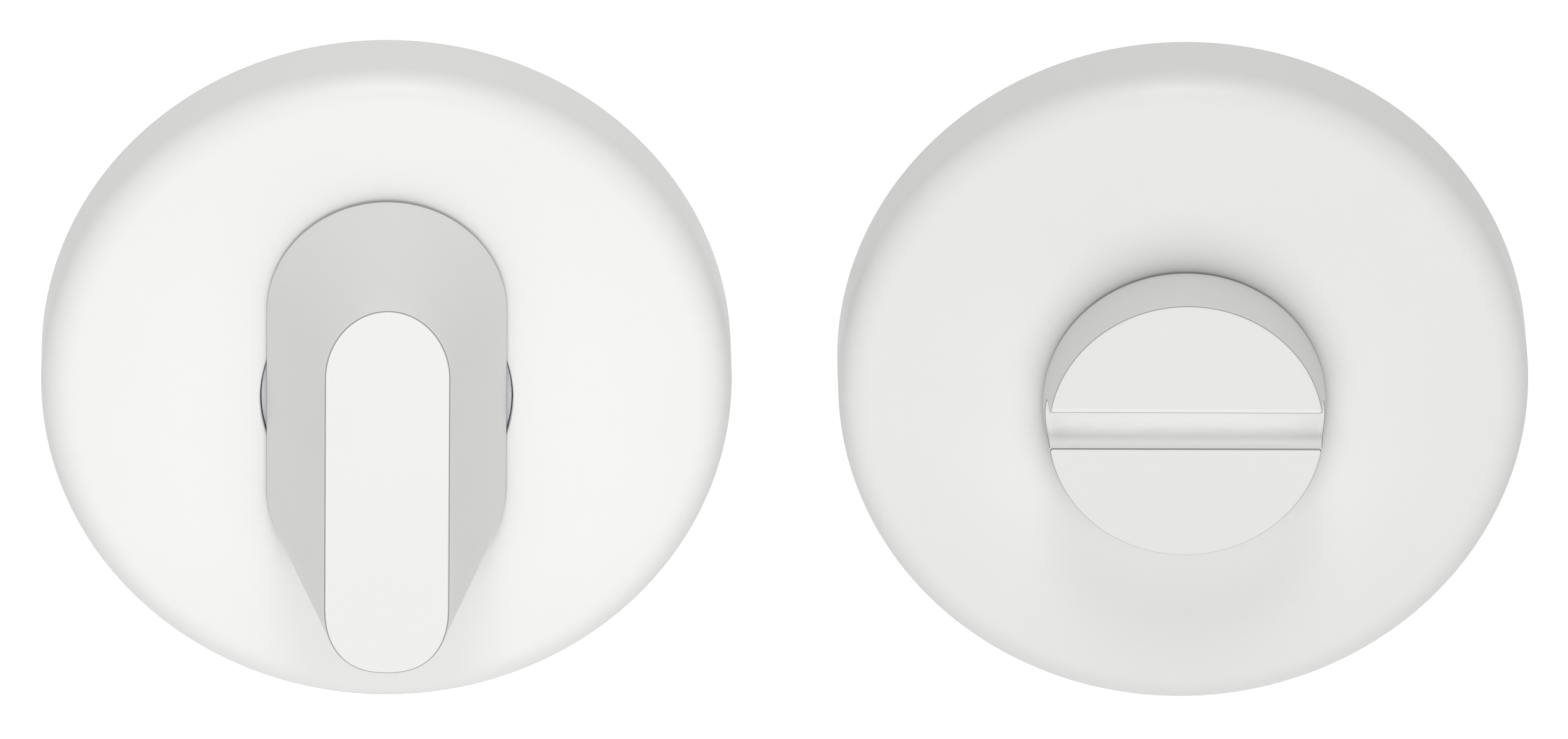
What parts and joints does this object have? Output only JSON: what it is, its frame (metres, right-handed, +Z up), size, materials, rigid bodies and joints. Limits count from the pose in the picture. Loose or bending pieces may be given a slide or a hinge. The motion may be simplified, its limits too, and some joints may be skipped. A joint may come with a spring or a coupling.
{
  "type": "bathroom thumb turn lock",
  "caption": "Thumb turn on a round rose with spindle and bolts, and the matching coin-slot release on its own rose.",
  "frame": {"origin": "on the door's face, at the thumb turn's axis", "axes": "+X to the right, from the thumb turn to the release; +Y into the door; +Z up"},
  "size_m": [0.112, 0.0666, 0.052],
  "materials": {
    "white_powder_coat": "fine matte powder coat",
    "moulded_base": "moulded nylon",
    "bush": "self-lubricating nylon",
    "zinc_plated_sheet": "bright zinc plate",
    "spring_steel": "satin",
    "phosphated_steel": "oiled phosphate",
    "zinc_plated_bar": "zinc plate",
    "black_steel": "black oxide"
  },
  "bodies": {
    "fixed": {"turn_cover": "white_powder_coat", "turn_base": "moulded_base", "turn_plate": "zinc_plated_sheet", "turn_bearing": "bush", "turn_wave_washer": "spring_steel", "through_bolts": "zinc_plated_bar", "release_cover": "white_powder_coat", "release_base": "moulded_base", "release_plate": "zinc_plated_sheet", "release_bearing": "bush", "release_wave_washer": "spring_steel", "release_sleeves": "zinc_plated_bar"},
    "turn": {"thumb_turn": "white_powder_coat", "spindle": "zinc_plated_bar", "spindle_grub_screw": "black_steel", "turn_thrust_washer": "spring_steel", "turn_circlip": "phosphated_steel"},
    "release": {"release_turn": "white_powder_coat", "release_thrust_washer": "spring_steel", "release_circlip": "phosphated_steel"}
  },
  "joints": [
    {"name": "thumb_turn_pivot", "type": "hinge", "parent": "fixed", "child": "turn", "pos_m": [0, 0, 0], "axis": [0, 1, 0], "range_deg": [-90, 90]},
    {"name": "release_pivot", "type": "hinge", "parent": "fixed", "child": "release", "pos_m": [0.06, 0, 0], "axis": [0, 1, 0], "range_deg": [-90, 90]}
  ]
}
